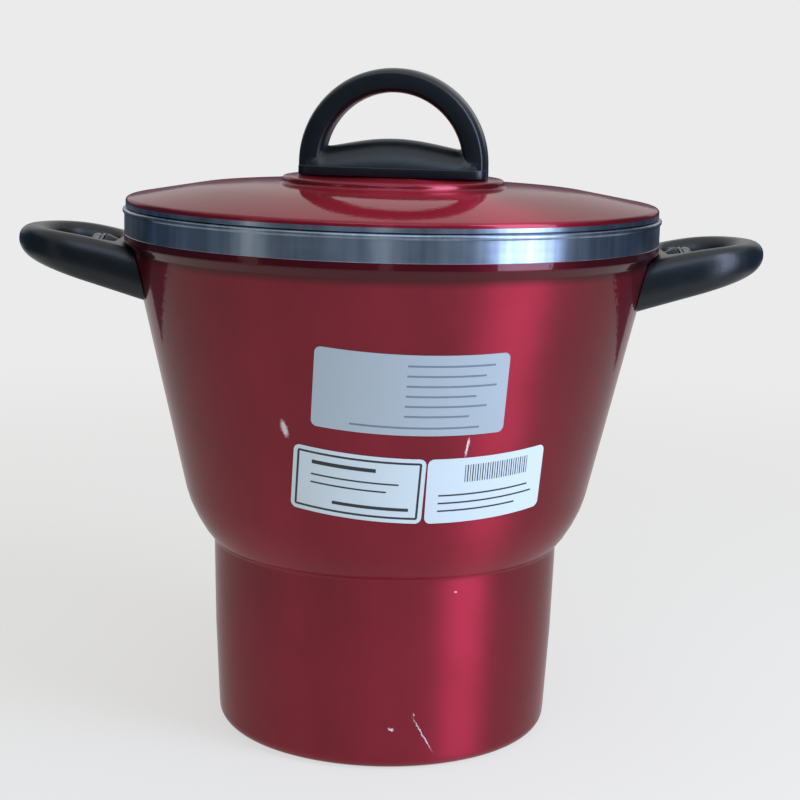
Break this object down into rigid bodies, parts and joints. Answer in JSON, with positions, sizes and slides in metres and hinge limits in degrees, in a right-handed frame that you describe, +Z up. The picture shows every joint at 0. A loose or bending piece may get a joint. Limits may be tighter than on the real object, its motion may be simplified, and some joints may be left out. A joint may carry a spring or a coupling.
{
  "type": "couscous steamer",
  "caption": "Stovetop couscous steamer: narrow water sump under a wide cone, inner perforated steam tray, domed lift-off lid with arched knob, loop side handles.",
  "frame": {"origin": "centre of the flat base, on the surface that the pot stands on", "axes": "+Z up along the pot's axis, +X along the handles to the right handle as seen from the front, +Y to the back"},
  "size_m": [0.2758, 0.198, 0.2463],
  "materials": {
    "red_painted_aluminium": "glossy metallic red paint over spun aluminium, bare aluminium inside and on the mouth band",
    "bare_aluminium": "turned and brushed, satin",
    "bakelite": "moulded black bakelite, satin",
    "zinc_steel": "zinc plated steel",
    "brass": "turned brass"
  },
  "bodies": {
    "pot": {"pot_shell": "red_painted_aluminium", "handle_left": "bakelite", "handle_right": "bakelite", "handle_bracket_left": "zinc_steel", "handle_bracket_right": "zinc_steel", "handle_screw_left": "zinc_steel", "handle_screw_right": "zinc_steel", "handle_washer_left": "zinc_steel", "handle_washer_right": "zinc_steel", "handle_rivet_left_1": "bare_aluminium", "handle_rivet_left_2": "bare_aluminium", "handle_rivet_right_1": "bare_aluminium", "handle_rivet_right_2": "bare_aluminium"},
    "lid": {"lid_shell": "red_painted_aluminium", "lid_knob": "bakelite", "knob_insert": "brass", "knob_screw": "zinc_steel", "knob_washer": "zinc_steel"},
    "tray": {"steam_tray": "bare_aluminium", "tray_pull": "bare_aluminium"}
  },
  "joints": [
    {"name": "lid_lift", "type": "slide", "parent": "pot", "child": "lid", "axis": [0, 0, 1], "range_m": [0, 0.26]},
    {"name": "tray_lift", "type": "slide", "parent": "pot", "child": "tray", "axis": [0, 0, 1], "range_m": [0, 0.13]}
  ],
  "couplings": [
    {"joint": "tray_lift", "follows": "lid_lift", "ratio": 0.5}
  ]
}
